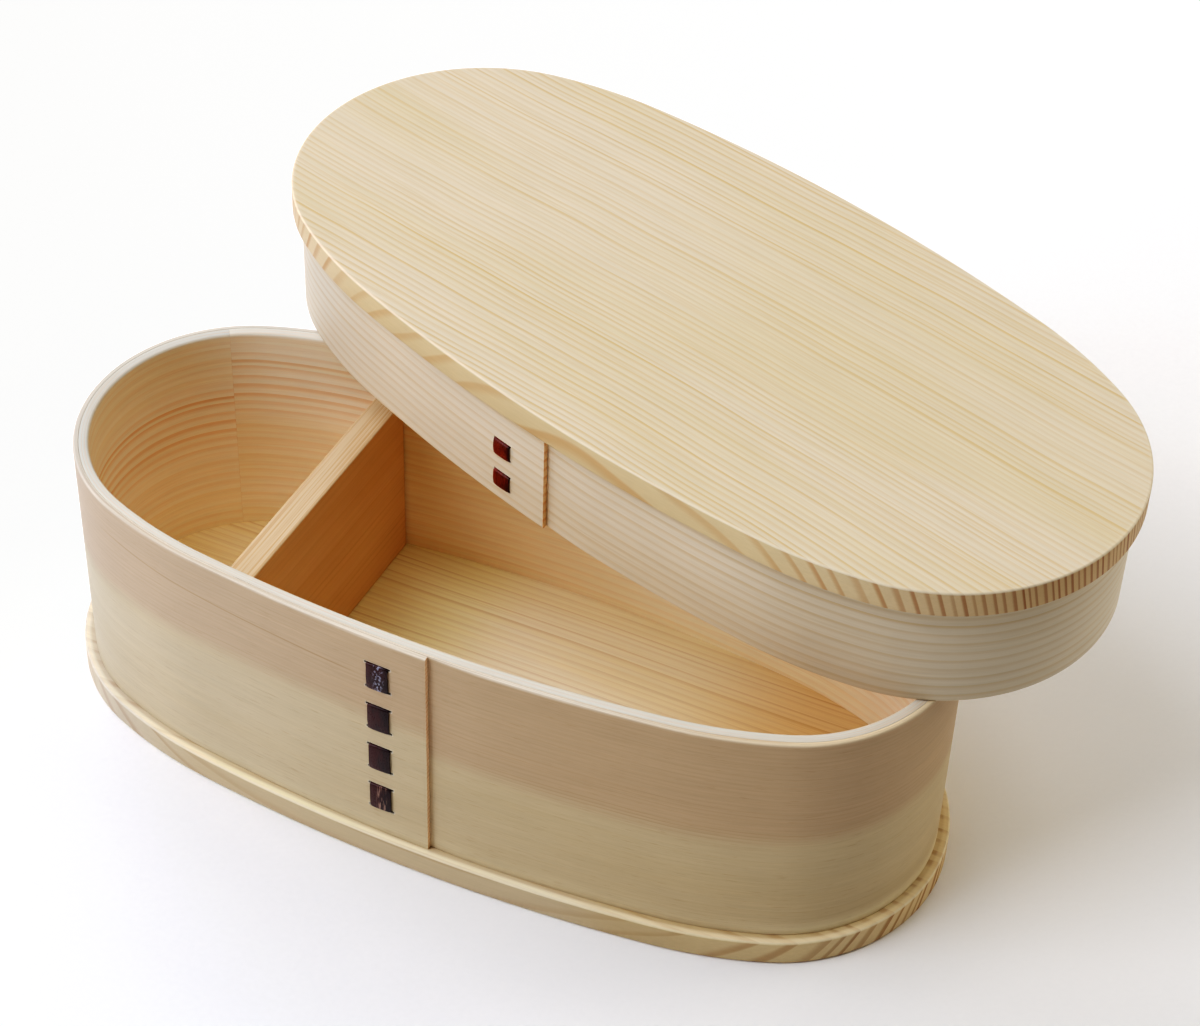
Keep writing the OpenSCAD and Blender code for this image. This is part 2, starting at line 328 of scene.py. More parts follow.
def inner_band():
    seam = RUN[6] + END_R * math.radians(125 - (180 - END_A))
    gap = 0.012
    z0, z1 = BASE_T, RIM_Z
    z, pitch, n, h = PASSES
    lace_s, gz0, gz1 = LACE + ROUND, z - h / 2 - 1.6, z + (n - 1) * pitch + h / 2 + 1.6
    half = BARK_W / 2 + 0.4
    cols = steps(seam + gap, seam + ROUND - gap, 1.5, [lace_s - half - 0.02, lace_s - half, lace_s + half, lace_s + half + 0.02])
    zl = list(steps(z0 + 0.3, z1 - 0.85, 4.0, [gz0 - 0.02, gz0, gz1, gz1 + 0.02]))

    def outer(s, z):
        s = np.asarray(s, float)
        inside = (s >= lace_s - half - 1e-6) & (s <= lace_s + half + 1e-6) & (gz0 - 1e-6 <= z <= gz1 + 1e-6)
        return np.where(inside, -1.75, -1.05)

    def inner(s, z):
        return np.full(len(s), -3.0)

    sh = Shell()
    strip(sh, cols, zl, outer, inner, z0, z1, (0.04, 0.5, 0.05, 0.1))
    return sh.build("inner_band_wood")


def base_board():
    # on the ledge outside the wall, the edge colour along the wall is painted shade, and the pale colour towards the
    # arris is a painted highlight
    rings = [(-23.1, BASE_T, 0, 0), (-12, BASE_T, 0, 0), (-2.5, BASE_T, 0, 0), (-1.5, BASE_T, 1, 0), (0.0, BASE_T, 1, 0), (0.7, BASE_T, 0.8, 0), (1.2, BASE_T, 0.15, 0.5)]
    rings += edge_rings(BASE_OUT, 0, BASE_T, BOARD_R, 0.6) + [(-10, 0, 0, 0), (-23.1, 0, 0, 0)]
    sh = Shell()
    board(sh, rings, COLS, -23.1, (-2, 1.8))
    return sh.build("base_board_wood")


def lid_board():
    z0, z1 = LID_H, LID_H + 5.6
    rings = [(-14.4, z1, 0, 0), (-4, z1, 0, 0)] + edge_rings(6.0, z0, z1, BOARD_R)
    rings += [(2.7, z0, 0, 0), (2.7, z0 - 0.5, 0, 0), (2.4, z0 - 0.5, 0, 0), (-14.4, z0 - 0.5, 0, 0)]
    sh = Shell()
    board(sh, rings, COLS, -14.4)
    return sh.build("lid_board_wood", lid_place)


def divider():
    """Upright board across the box, its ends hollowed to the wall's curve and its long edges eased."""
    t, x0, yaw, z0, z1, r = 5.6, -43.6, math.radians(-1.5), BASE_T + 0.1, 45.5, 0.35
    ring_r = SIDE_R - 3.0 - 0.35
    prof = []
    for cx, cz, a0 in ((t / 2 - r, z1 - r, 0), (-t / 2 + r, z1 - r, 90), (-t / 2 + r, z0 + r, 180), (t / 2 - r, z0 + r, 270)):
        for k in range(5):
            w = math.radians(a0 + 22.5 * k)
            prof.append((cx + r * math.cos(w), cz + r * math.sin(w)))
        nx, nz = prof[-1]
        if a0 == 0:
            prof += [(t / 2 - r - 0.3, z1), (0, z1), (-t / 2 + r + 0.3, z1)]
        if a0 == 90:
            prof += [(-t / 2, z) for z in (z1 - r - 0.3, 36, 26, 16, z0 + r + 0.3)]
        if a0 == 180:
            prof += [(-t / 2 + r + 0.3, z0), (0, z0), (t / 2 - r - 0.3, z0)]
        if a0 == 270:
            prof += [(t / 2, z) for z in (z0 + r + 0.3, 16, 26, 36, z1 - r - 0.3)]
    prof = np.array(prof)
    u, e = np.array([math.cos(yaw), math.sin(yaw)]), np.array([-math.sin(yaw), math.cos(yaw)])

    def reach(px, sign):  # how far along e from the middle to the wall
        o = np.array([x0, 0]) + px * u
        c = np.array([0, -sign * (SIDE_R - B)])
        q = o - c
        bq = q @ e
        return -bq + sign * math.sqrt(bq * bq - (q @ q - ring_r ** 2))

    sh = Shell()
    vs = np.concatenate([[0, 0.004, 0.012], np.linspace(0.04, 0.96, 24), [0.988, 0.996, 1]])
    loops = []
    ends = [(reach(px, -1), reach(px, 1)) for px, _ in prof]
    for v in vs:
        shrink = 0.0
        if v in (0, 1):
            shrink = 0.25  # eased end edges
        p, gc, fx = [], [], []
        for (px, pz), (y0, y1) in zip(prof, ends):
            y = y0 + (y1 - y0) * v
            qx, qz = px * (1 - shrink / (t / 2)), (pz - (z0 + z1) / 2) * (1 - shrink / ((z1 - z0) / 2)) + (z0 + z1) / 2
            xy = np.array([x0, 0]) + qx * u + y * e
            p.append((xy[0], xy[1], qz))
            gc.append((y, qz, qx))
            fx.append((1.0 if v in (0, 1) else 0.0, 0.7 * min(1.0, max(0.0, (pz - z1 + r) / (0.8 * r))), 0.0))
        loops.append(sh.points(p, gc, fx))
    m = len(prof)
    for r0, r1 in zip(loops, loops[1:]):
        for j in range(m):
            j2 = (j + 1) % m
            sh.face((r0[j], r0[j2], r1[j2], r1[j]))
    sh.face(loops[0][::-1], (1.0, 0, 0))
    sh.face(loops[-1], (1.0, 0, 0))
    return sh.build("divider_wood")


def lacing(name, s, off, depth, lap_slope, z, pitch, n, h, width, bow, place=None):
    """One strip of bark woven through n pairs of slits. off: offset of the lap's face, depth: wall behind it."""
    xy, nrm = oval([s])
    w = math.atan2(nrm[0][1], nrm[0][0]) + math.pi / 2 - lap_slope
    wide = np.array([math.cos(w), math.sin(w)])
    out = np.array([math.sin(w), -math.cos(w)])
    o = xy[0] + (off + 0.06) * nrm[0]
    t = BARK_T
    yin = -(depth + 0.14) - t / 2  # middle of the inner passes, outwards positive
    corners = [(yin, z - h / 2 - 1.2)]
    for i in range(n):
        lo, hi = z + i * pitch - h / 2 + t / 2, z + i * pitch + h / 2 - t / 2
        corners += [(yin, lo), (t / 2, lo), (t / 2, hi), (yin, hi)]
    corners.append((yin, z + (n - 1) * pitch + h / 2 + 1.2))
    corners = np.array(corners)
    r = 0.24
    path = [corners[0]]
    for a, b, c in zip(corners, corners[1:], corners[2:]):
        d0, d1 = (b - a) / np.linalg.norm(b - a), (c - b) / np.linalg.norm(c - b)
        p0, p1 = b - d0 * r, b + d1 * r
        # a straight run gets points between its rounded corners, so that it can bow
        for k in range(1, 7):
            path.append(path[-1] + (p0 - path[-1]) * (1 / (7 - k)) if k < 6 else p0)
        for k in range(1, 6):
            g = k / 5
            path.append((1 - g) ** 2 * p0 + 2 * g * (1 - g) * b + g * g * p1)
    path.append(corners[-1])
    path = np.array(path)
    # outer passes bow a little off the lap
    for i in range(n):
        zc = z + i * pitch
        on = path[:, 0] > t / 2 - 0.02
        up = np.clip(1 - ((path[:, 1] - zc) / (h / 2 - 0.4)) ** 2, 0, 1)
        path[:, 0] += np.where(on & (np.abs(path[:, 1] - zc) < h / 2), bow * up, 0)
    run = np.concatenate([[0], np.cumsum(np.linalg.norm(np.diff(path, axis=0), axis=1))])
    tan = np.gradient(path, axis=0)
    tan /= np.linalg.norm(tan, axis=1)[:, None] + 1e-9
    side = np.stack([tan[:, 1], -tan[:, 0]], 1)  # outwards on an upward run
    across = []
    for x in np.linspace(-1, 1, 9):
        across.append((x, 1))
    for x in np.linspace(1, -1, 9):
        across.append((x, -1))
    sh = Shell()
    loops = []
    for (py, pz), sd, l in zip(path, side, run):
        p, gc = [], []
        hw = width / 2 * (1 - 0.012 + 0.008 * math.sin(l * 1.7 + s) + 0.004 * math.sin(l * 4.1))
        for x, f in across:
            th = t / 2 * (1 - 0.45 * abs(x) ** 6)
            lift = -0.05 * abs(x) ** 2.5 - 0.04 * x
            q = np.array([py, pz]) + sd * (f * th + lift)
            pos = o + wide * (x * hw) + out * q[0]
            p.append((pos[0], pos[1], q[1]))
            gc.append((l + 40 * (s < -9), x * hw, f * th))
        turn = (pz - z) / pitch
        front = 1.0 if py > 0 else 0.0
        # the lowest and the top outer pass, where the bark material paints highlight streaks and a reflection
        first, top = front * (abs(turn) < 0.4), front * (abs(turn - (n - 1)) < 0.4)
        loops.append(sh.points(p, gc, (float(first), float(top), front)))
    m = len(across)
    for r0, r1 in zip(loops, loops[1:]):
        for j in range(m):
            j2 = (j + 1) % m
            sh.face((r0[j], r0[j2], r1[j2], r1[j]))
    sh.face(loops[0][::-1])
    sh.face(loops[-1])
    return sh.build(name, place, 35)


# ------------------------------------------------------------------ materials
def lin(r, g, b):
    """A colour given as 0 to 255 display values, as linear light."""
    return tuple(((c / 255 + 0.055) / 1.055) ** 2.4 if c > 10 else c / 255 / 12.92 for c in (r, g, b)) + (1.0,)


class Tree:
    """Small helper that writes a node material."""

    def __init__(self, name):
        self.mat = bpy.data.materials.new(name)
        self.mat.use_nodes = True
        self.t = self.mat.node_tree
        self.t.nodes.clear()
        self.out = self.t.nodes.new("ShaderNodeOutputMaterial")
        self.bsdf = self.t.nodes.new("ShaderNodeBsdfPrincipled")
        self.t.links.new(self.bsdf.outputs[0], self.out.inputs[0])

    def put(self, socket, value):
        if isinstance(value, bpy.types.NodeSocket):
            self.t.links.new(value, socket)
        else:
            socket.default_value = value

    def attribute(self, name):
        n = self.t.nodes.new("ShaderNodeAttribute")
        n.attribute_type = "GEOMETRY"
        n.attribute_name = name
        return n.outputs["Vector"]

    def math(self, op, a, b=None, c=None, clamp=False):
        n = self.t.nodes.new("ShaderNodeMath")
        n.operation = op
        n.use_clamp = clamp
        for i, x in enumerate((a, b, c)):
            if x is not None:
                self.put(n.inputs[i], x)
        return n.outputs[0]

    def vec(self, op, a, b):
        n = self.t.nodes.new("ShaderNodeVectorMath")
        n.operation = op
        self.put(n.inputs[0], a)
        self.put(n.inputs[1], b)
        return n.outputs["Vector"]

    def xyz(self, v):
        n = self.t.nodes.new("ShaderNodeSeparateXYZ")
        self.put(n.inputs[0], v)
        return n.outputs

    def noise(self, v, detail=1.0, rough=0.5, dims="3D"):
        n = self.t.nodes.new("ShaderNodeTexNoise")
        n.noise_dimensions = dims
        self.put(n.inputs["W" if dims == "1D" else "Vector"], v)
        n.inputs["Scale"].default_value = 1.0
        n.inputs["Detail"].default_value = detail
        n.inputs["Roughness"].default_value = rough
        return n.outputs[0]

    def white(self, w):
        n = self.t.nodes.new("ShaderNodeTexWhiteNoise")
        n.noise_dimensions = "1D"
        self.put(n.inputs["W"], w)
        return n.outputs["Value"]

    def span(self, v, a, b, c=0.0, d=1.0, kind="SMOOTHSTEP"):
        n = self.t.nodes.new("ShaderNodeMapRange")
        n.interpolation_type = kind
        self.put(n.inputs["Value"], v)
        for i, x in zip((1, 2, 3, 4), (a, b, c, d)):
            self.put(n.inputs[i], x)
        return n.outputs[0]

    def mix(self, fac, a, b, mode="MIX"):
        n = self.t.nodes.new("ShaderNodeMix")
        n.data_type = "RGBA"
        n.blend_type = mode
        self.put(n.inputs[0], fac)
        self.put(n.inputs[6], a)
        self.put(n.inputs[7], b)
        return n.outputs[2]

    def scaled(self, col, amount):
        """A colour times a number."""
        n = self.t.nodes.new("ShaderNodeVectorMath")
        n.operation = "SCALE"
        self.put(n.inputs[0], col)
        self.put(n.inputs["Scale"], amount)
        return n.outputs["Vector"]

    def bump(self, height, strength, distance):
        n = self.t.nodes.new("ShaderNodeBump")
        n.inputs["Strength"].default_value = strength
        n.inputs["Distance"].default_value = distance
        self.put(n.inputs["Height"], height)
        return n.outputs[0]


def wood(name, pale, warm, line, end_pale, end_line, seed, spacing, tilt=0.0, drift=0.0, wave=(6.0, 1.0), jitter=2.0,
         lines=1.0, late=(0.5, 0.88), own=(0.35, 1.0), zone=(0.55, 1.05), fade=(0.7, 1.05), streak=0.10, ring_tone=0.5,
         split=None, rim=None, fresh=None, side=None, zone_at=None, vein=None, turn=(), painted_bounce_light=(), calm=None, pores=0.0, blotch=0.06, rim_lines=0.3, fine=0.2, rough=0.5, spec=0.3):
    """Softwood: fibres along the grain place's first axis, growth rings across the second, tilted by tilt degrees."""
    g = Tree(name)
    at = g.attribute("gc")
    fx = g.xyz(g.attribute("fx"))
    p = g.vec("ADD", at, seed)
    along, across, third = g.xyz(p)[0], g.xyz(p)[1], g.xyz(p)[2]
    slow = g.noise(g.vec("MULTIPLY", p, (0.0070, 0.0035, 0.0035)), 1.0)
    quick = g.noise(g.vec("MULTIPLY", p, (0.030, 0.012, 0.012)), 1.0)
    w = g.math("MULTIPLY", across, math.cos(math.radians(tilt)))
    w = g.math("MULTIPLY_ADD", third, math.sin(math.radians(tilt)), w)
    w = g.math("MULTIPLY_ADD", along, drift, w)
    w = g.math("MULTIPLY_ADD", slow, wave[0], w)
    w = g.math("MULTIPLY_ADD", quick, wave[1], w)
    # rings of uneven width
    uneven = g.noise(g.math("MULTIPLY", w, 0.11), 2.0, 0.6, "1D")
    phase = g.math("MULTIPLY_ADD", uneven, jitter, g.math("DIVIDE", w, spacing))
    ring = g.math("FLOOR", phase)
    f = g.math("FRACT", phase)
    fall = g.span(f, 0.93, 1.0, 1.0, 0.0)
    lw = g.math("MULTIPLY", g.span(f, late[0], late[1]), fall)
    le = g.math("MULTIPLY", g.span(f, 0.48, 0.74), fall)
    # each ring has its own strength, whole zones are plainer, and a line fades and returns along its length
    much = g.span(g.white(ring), 0.0, 1.0, own[0], own[1], "LINEAR")
    plain = g.span(g.noise(g.math("MULTIPLY", w, 0.05), 1.0, 0.5, "1D"), 0.36, 0.6, zone[0], zone[1])
    if zone_at is not None:
        # one bundle of bold rings
        plain = g.span(g.math("ABSOLUTE", g.math("SUBTRACT", w, zone_at[0])), zone_at[1] * 0.5, zone_at[1], zone[1], zone[0])
    pale_run = g.span(g.noise(g.vec("MULTIPLY", p, (0.012, 0.35, 0.35)), 1.0), 0.3, 0.65, fade[0], fade[1])
    c = g.math("MULTIPLY", g.math("MULTIPLY", lw, much), g.math("MULTIPLY", plain, pale_run))
    c = g.math("MULTIPLY", c, lines, clamp=True)
    if side is not None:
        # where an edge runs along the rings they show as long soft bands
        broad = g.math("MULTIPLY", g.span(f, 0.5, 0.82), g.span(f, 0.88, 0.99, 1.0, 0.0))
        strong = g.math("MULTIPLY_ADD", fx[0], 2.5, 0.45, clamp=True)
        broad = g.math("MULTIPLY", g.math("MULTIPLY", broad, strong), g.math("MULTIPLY", much, side[0]))
        c = g.math("MULTIPLY", c, g.math("SUBTRACT", 1.0, fx[1]))
    # fibres
    fibre = g.noise(g.vec("MULTIPLY", p, (0.11, 4.2, 4.2)), 3.0, 0.6)
    hair = g.noise(g.vec("MULTIPLY", p, (0.5, 13.0, 13.0)), 1.0)
    cloud = g.noise(g.vec("MULTIPLY", p, (0.010, 0.045, 0.045)), 2.0)
    mottle = g.noise(g.vec("MULTIPLY", p, (0.05, 0.16, 0.16)), 2.0)
    thread = g.noise(g.vec("MULTIPLY", p, (0.016, 1.5, 1.5)), 2.0, 0.55)
    c = g.math("MAXIMUM", c, g.span(thread, 0.5, 0.8, 0.0, fine))
    tone = g.math("MULTIPLY_ADD", g.math("SUBTRACT", g.white(g.math("ADD", ring, 37.0)), 0.5), ring_tone, g.span(cloud, 0.35, 0.68), clamp=True)
    col = g.mix(tone, pale, warm)
    if split is not None:
        # the strip runs over from heartwood above to sapwood below
        z_mid, slope, upper = split
        ragged = g.noise(g.vec("MULTIPLY", p, (0.012, 0.05, 0.2)), 2.0)
        border = g.math("MULTIPLY_ADD", along, slope, z_mid - slope * seed[0])
        border = g.math("MULTIPLY_ADD", g.math("SUBTRACT", ragged, 0.5), 5.0, border)
        border = g.math("MULTIPLY_ADD", g.math("SUBTRACT", thread, 0.5), 5.0, border)
        over = g.span(g.math("SUBTRACT", across, border), -2.6, 2.4)
        col = g.mix(over, col, upper)
        c = g.math("MULTIPLY", c, g.math("MULTIPLY_ADD", over, 0.75, 0.25))
    if vein is not None:
        # a single dark thread: height at run 0, slope, first and last run, strength
        z_at, slope, s0, s1, much_vein = vein
        here = g.math("MULTIPLY_ADD", along, slope, z_at - slope * seed[0])
        here = g.math("MULTIPLY_ADD", g.math("SUBTRACT", quick, 0.5), 1.2, here)
        near = g.span(g.math("ABSOLUTE", g.math("SUBTRACT", across, here)), 0.06, 0.30, much_vein, 0.0)
        near = g.math("MULTIPLY", near, g.math("MULTIPLY", g.span(along, s0 + seed[0], s0 + seed[0] + 12), g.span(along, s1 + seed[0] - 12, s1 + seed[0], 1.0, 0.0)))
        c = g.math("MAXIMUM", c, near)
    if pores:
        # short dark dashes along the fibres
        dash = g.noise(g.vec("MULTIPLY", p, (0.22, 3.2, 3.2)), 2.0, 0.55)
        c = g.math("MAXIMUM", c, g.span(dash, 0.58, 0.74, 0.0, pores))
    col = g.mix(c, col, line)
    if side is not None:
        col = g.mix(fx[1], col, g.mix(broad, side[2], side[1]))
    ec = g.math("MULTIPLY", le, g.span(much, own[0], own[1], 0.55, 1.0, "LINEAR"))
    if calm is not None:
        # the end grain is plainer towards the left end
        ec = g.math("MULTIPLY", ec, g.span(along, calm[0] + seed[0], calm[1] + seed[0], calm[2], 1.0))
    col = g.mix(fx[0], col, g.mix(ec, end_pale, end_line))
    if rim is not None:
        layer = g.noise(g.vec("MULTIPLY", p, (0.02, 1.2, 3.4)), 2.0, 0.6)
        col = g.mix(fx[1], col, g.mix(g.span(layer, 0.42, 0.7, 0.0, rim_lines), rim, line))
    # fresh: pale cut wood at the slits; on a board it paints the rounded arris pale, as sanded wood and as a painted
    # highlight
    if fresh is not None:
        col = g.mix(g.math("MULTIPLY", fx[2], 0.7), col, fresh)
    # other tone along some stretches, part of it the wood's own and part of it painted shade and painted light: rise
    # from, full at, still full at, gone at, colour factor, and on which faces
    edges = g.math("ADD", fx[0], fx[1], clamp=True)
    cut = g.math("ADD", edges, fx[2], clamp=True)

    def stretch(s0, s1, s2, s3):
        return g.math("MULTIPLY", g.span(along, s0 + seed[0], s1 + seed[0]), g.span(along, s2 + seed[0], s3 + seed[0], 1.0, 0.0))

    for s0, s1, s2, s3, factor, where in turn:
        here = stretch(s0, s1, s2, s3)
        if where == "faces":
            here = g.math("MULTIPLY", here, g.math("SUBTRACT", 1.0, cut))
        if where == "edges":
            here = g.math("MULTIPLY", here, edges)
        if where == "edges and arris":
            here = g.math("MULTIPLY", here, cut)
        col = g.mix(here, col, g.vec("MULTIPLY", col, factor))
    # painted bounce light from the ground and the ledge, the wall paler low down: full at, gone at, the stretch and the
    # colour factor
    for z0, z1, s0, s1, s2, s3, factor in painted_bounce_light:
        here = g.math("MULTIPLY", g.span(across, z0 + seed[1], z1 + seed[1], 1.0, 0.0), stretch(s0, s1, s2, s3))
        col = g.mix(here, col, g.vec("MULTIPLY", col, factor))
    shade = g.math("MULTIPLY_ADD", fibre, streak, 1.0 - streak / 2)
    weft = g.noise(g.vec("MULTIPLY", p, (0.06, 1.9, 1.9)), 3.0, 0.62)
    shade = g.math("MULTIPLY_ADD", g.math("SUBTRACT", weft, 0.5), streak * 1.3, shade)
    shade = g.math("MULTIPLY_ADD", hair, streak * 0.5, shade)
    shade = g.math("MULTIPLY_ADD", mottle, blotch, shade)
    shade = g.math("SUBTRACT", shade, streak * 0.25 + blotch / 2)
    col = g.scaled(col, shade)
    b = g.bsdf.inputs
    g.put(b["Base Color"], col)
    r = g.math("MULTIPLY_ADD", fibre, 0.22, rough - 0.11)
    r = g.math("MULTIPLY_ADD", c, -0.08, r)
    g.put(b["Roughness"], r)
    b["Specular IOR Level"].default_value = spec
    height = g.math("MULTIPLY_ADD", c, 0.8, g.math("MULTIPLY_ADD", hair, 0.5, fibre))
    g.put(b["Normal"], g.bump(height, 0.35, 0.00005))
    return g.mat


def bark(name, dark, red, painted_reflection, painted_highlight_streak, seed):
    """Polished bark: near-black red, glossy, with fine streaks; painted light makes each pass redder on one side and
    darker on the other, and paints a pale, flaky reflection on the top pass and reddish highlight streaks on the
    lowest.
    """
    g = Tree(name)
    fx = g.xyz(g.attribute("fx"))
    p = g.vec("ADD", g.attribute("gc"), seed)
    across = g.xyz(g.attribute("gc"))[1]
    streak = g.noise(g.vec("MULTIPLY", p, (0.5, 2.4, 1.0)), 3.0, 0.65)
    patch = g.noise(g.vec("MULTIPLY", p, (0.16, 0.3, 0.3)), 1.0)
    fine = g.noise(g.vec("MULTIPLY", p, (2.2, 9.0, 4.0)), 2.0)
    # painted light: each pass redder on one side and darker on the other
    lean = g.span(across, -2.2, 2.2, 0.25, -0.2, "LINEAR")
    col = g.mix(g.span(g.math("ADD", lean, g.math("MULTIPLY_ADD", patch, 0.8, g.math("MULTIPLY", streak, 0.6))), 0.5, 0.95), dark, red)
    # painted reflection: pale flakes on the top pass
    spot = g.noise(g.vec("MULTIPLY", p, (1.3, 2.0, 1.0)), 2.0, 0.7)
    mid = g.span(g.math("ABSOLUTE", g.math("SUBTRACT", across, 0.35)), 0.3, 1.5, 1.0, 0.0)
    col = g.mix(g.math("MULTIPLY", fx[1], g.math("MULTIPLY", mid, g.span(spot, 0.5, 0.62, 0.0, 0.75))), col, painted_reflection)
    # painted highlight: reddish streaks on the lowest pass
    line = g.noise(g.vec("MULTIPLY", p, (0.35, 3.6, 1.0)), 2.0, 0.6)
    col = g.mix(g.math("MULTIPLY", fx[0], g.math("MULTIPLY", mid, g.span(line, 0.5, 0.64, 0.0, 0.7))), col, painted_highlight_streak)
    b = g.bsdf.inputs
    g.put(b["Base Color"], col)
    g.put(b["Roughness"], g.math("MULTIPLY_ADD", fine, 0.2, 0.2))
    b["Specular IOR Level"].default_value = 0.3
    b["Coat Weight"].default_value = 0.12
    b["Coat Roughness"].default_value = 0.15
    height = g.math("MULTIPLY_ADD", fine, 0.35, streak)
    g.put(b["Normal"], g.bump(height, 0.55, 0.00012))
    return g.mat


SANDED = lin(223, 220, 208)
# the lid board's pale arris: sanded wood, and a painted highlight along the rounded edge
ARRIS = lin(236, 224, 198)
M_LID = wood("lid_board_grain", lin(220, 206, 182), lin(216, 201, 170), lin(203, 167, 97), lin(204, 174, 128), lin(154, 98, 52), (310.0, 45.0, 20.0),
             1.32, tilt=11, drift=-0.018, wave=(9.0, 1.6), jitter=2.2, lines=0.72, late=(0.3, 0.82), own=(0.35, 1.0), zone=(0.6, 1.0), ring_tone=0.4,
             side=(0.9, lin(186, 124, 58), lin(216, 195, 154)), calm=(-85.0, -30.0, 0.45), fine=0.3, fresh=ARRIS)
M_BASE = wood("base_board_grain", lin(251, 242, 216), lin(248, 235, 200), lin(190, 142, 80), lin(224, 199, 154), lin(174, 125, 74), (910.0, -75.0, 60.0),
              2.6, tilt=-27, drift=0.012, wave=(9.0, 1.2), jitter=2.0, lines=0.42, late=(0.4, 0.84), side=(0.6, lin(160, 106, 54), lin(206, 186, 152)), calm=(-85.0, -30.0, 0.35),
              # on the faces, the warmer stretch over the small compartment is painted warm shade, the floor right of
              # the divider is darker and warmer, and the darker, more orange stretch to the right is painted shade
              # under the lid; the edge is darker and cooler at the left end and warmer towards the right end
              turn=((-300.0, -250.0, -50.0, -44.0, (1.0, 0.98, 0.85), "faces"), (-48.0, -44.0, -26.0, -4.0, (0.95, 0.96, 0.78), "faces"),
                    (25.0, 60.0, 250.0, 300.0, (0.90, 0.75, 0.58), "faces"), (-300.0, -250.0, -76.0, -45.0, (0.82, 0.85, 0.97), "edges and arris"),
                    (28.0, 45.0, 75.0, 90.0, (0.95, 0.91, 0.80), "edges")),
              # the fresh colour paints the base's arris and the ledge next to it pale, as sanded wood and as a painted
              # highlight
              fresh=lin(244, 231, 200))
M_DIV = wood("divider_grain", lin(222, 180, 130), lin(216, 170, 118), lin(190, 140, 86), lin(200, 154, 104), lin(150, 100, 60), (120.0, 15.0, 90.0),
             1.5, tilt=40, wave=(6.0, 1.2), jitter=2.0, lines=0.3, fine=0.2, rim=lin(222, 206, 176), rim_lines=0.6)
# the end colours are end grain made paler than the faces, painted light on the lap's end, which faces away from the
# light
M_OUT = wood("outer_band_grain", lin(211, 195, 166), lin(208, 191, 160), lin(172, 136, 98), lin(255, 222, 184), lin(242, 194, 146), (40.0, 0.0, 0.0),
             1.1, tilt=8, wave=(3.0, 0.8), jitter=2.0, lines=0.26, streak=0.14, split=(31.4, 0.0125, lin(202, 179, 152)), rim=lin(232, 221, 202), fresh=SANDED,
             vein=(46.6 + 0.042 * ROUND, -0.042, -78.0 + ROUND, -6.0 + ROUND, 0.5),
             # the darker, warmer stretch over the front and the right end is painted shade, where the wall faces away
             # from the light; round the back and the left end the band is darker and cooler, and its edges are warmer
             # towards the right
             turn=((-80.0, 45.0, 100.0, 150.0, (0.92, 0.865, 0.755), "faces"), (-80.0 + ROUND, 45.0 + ROUND, 100.0 + ROUND, 150.0 + ROUND, (0.92, 0.865, 0.755), "faces"),
                   (ROUND - 190.0, ROUND - 150.0, ROUND - 88.0, ROUND - 58.0, (0.86, 0.88, 0.92), "all"), (25.0, 80.0, 110.0, 160.0, (1.03, 0.95, 0.80), "edges")),
             # the wall is painted paler and cooler low down, painted bounce light from the ground and the ledge
             painted_bounce_light=((5.6, 11.0, -60.0, -50.0, 150.0, 200.0, (1.12, 1.17, 1.24)), (5.6, 11.0, ROUND - 75.0, ROUND - 45.0, ROUND + 50.0, ROUND + 60.0, (1.07, 1.11, 1.16)),
                   (5.6, 10.0, 55.0, 85.0, 125.0, 150.0, (1.28, 1.36, 1.46))), pores=0.3, blotch=0.11, rim_lines=0.45, fine=0.12)
M_IN = wood("inner_band_grain", lin(252, 246, 228), lin(250, 242, 216), lin(230, 178, 112), lin(220, 180, 130), lin(190, 140, 90), (640.0, 33.0, 0.0),
            2.1, tilt=6, drift=-0.023, wave=(3.0, 0.8), jitter=1.6, lines=0.66, late=(0.25, 0.8), own=(0.5, 1.0), zone=(0.3, 1.0), zone_at=(47.4, 9.0), streak=0.12,
            rim=SANDED, rim_lines=0.35,
            # the darker, more orange stretch on the back wall is painted shade under the lid, the bluer stretch round
            # the right end is painted light, and the rim is darker round the left end
            turn=((185.0 + ROUND, 240.0 + ROUND, 259.0 + ROUND, 264.0 + ROUND, (0.93, 0.81, 0.67), "faces"), (40.0 + ROUND, 75.0 + ROUND, 130.0 + ROUND, 165.0 + ROUND, (1.0, 0.99, 1.10), "faces"),
                  (ROUND - 170.0, ROUND - 150.0, ROUND - 92.0, ROUND - 65.0, (0.87, 0.88, 0.90), "edges")))
# the end colours are end grain made paler than the faces, painted light on the lap's end, which lies in shade
M_LBAND = wood("lid_band_grain", lin(228, 215, 193), lin(225, 210, 184), lin(206, 174, 120), lin(255, 220, 176), lin(244, 192, 140), (77.0, 12.0, 0.0),
               2.1, tilt=5, drift=0.004, wave=(2.5, 0.6), jitter=0.4, lines=0.5, late=(0.42, 0.84), own=(0.55, 1.0), zone=(0.75, 1.0), ring_tone=0.3, streak=0.12,
               # the darker, warmer stretch over the front and the right end is painted shade, and the stretch on the
               # left is darker and cooler
               turn=((32.0, 66.0, 88.0, 150.0, (0.83, 0.81, 0.77), "faces"), (ROUND - 130.0, ROUND - 95.0, ROUND - 68.0, ROUND - 40.0, (0.84, 0.86, 0.89), "faces")),
               blotch=0.09, rim=lin(228, 216, 194), fresh=lin(240, 230, 212))
# the last two colours are a painted reflection and painted highlight streaks
M_BARK = bark("body_bark", lin(44, 24, 26), lin(68, 30, 29), lin(170, 170, 188), lin(176, 140, 122), (0.0, 0.0, 0.0))
M_BARK2 = bark("lid_bark", lin(58, 20, 18), lin(126, 42, 27), lin(150, 72, 60), lin(134, 52, 36), (23.0, 4.0, 0.0))


# ------------------------------------------------------------------ the eight pieces
def finish_piece(ob, mat, body, node):
    ob.data.materials.append(mat)
    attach(ob, body)
    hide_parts(node)


